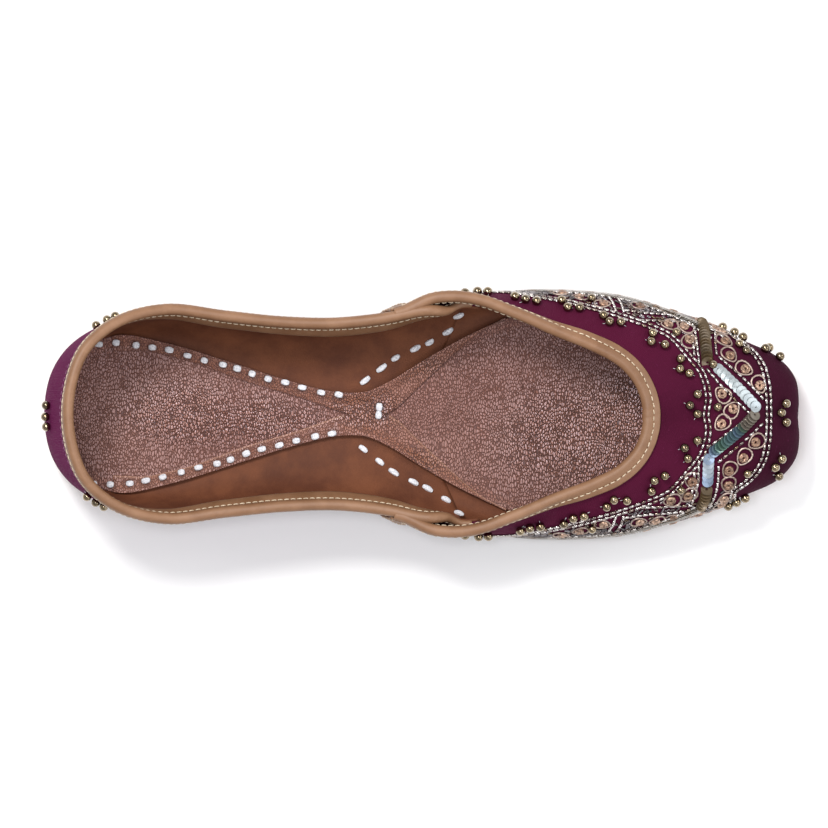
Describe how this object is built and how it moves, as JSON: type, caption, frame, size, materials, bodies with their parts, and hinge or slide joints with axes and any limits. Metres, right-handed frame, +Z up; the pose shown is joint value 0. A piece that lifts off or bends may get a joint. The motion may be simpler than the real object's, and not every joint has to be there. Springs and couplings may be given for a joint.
{
  "type": "mojari slip-on shoe",
  "caption": "Embroidered mojari: a flat slip-on shoe with a laced leather sole, low heel lift, hollow fabric upper, leather-bound open throat and squared toe.",
  "frame": {"origin": "on the floor under the middle of the shoe's length and width", "axes": "+X towards the toe, +Y towards the shoe's left side, +Z up"},
  "size_m": [0.2496, 0.0806, 0.0572],
  "materials": {
    "sole_leather": "red dyed, polished smooth at the toe and pebbled at the waist",
    "sock_leather": "brown, fine pebbled grain with a soft sheen",
    "lining_leather": "reddish brown, coarse pebbled grain",
    "upper_fabric": "plum matt plain-woven silk over backing",
    "binding_leather": "tan, smooth, folded and machine stitched",
    "white_thread": "waxed white cotton lacing",
    "fine_thread": "twisted machine thread",
    "gold_thread": "metallic zari cord",
    "beads": "antique gold plated round beads",
    "bugles": "silver lined bugle beads",
    "sequins": "thin pearly iridescent discs"
  },
  "bodies": {
    "root": {"outsole": "sole_leather", "heel_lift": "sole_leather", "heel_sock": "sock_leather", "forefoot_sock": "sock_leather", "insole_cross": "lining_leather", "upper": "upper_fabric", "quarter_binding": "binding_leather", "vamp_binding": "binding_leather"}
  },
  "joints": []
}
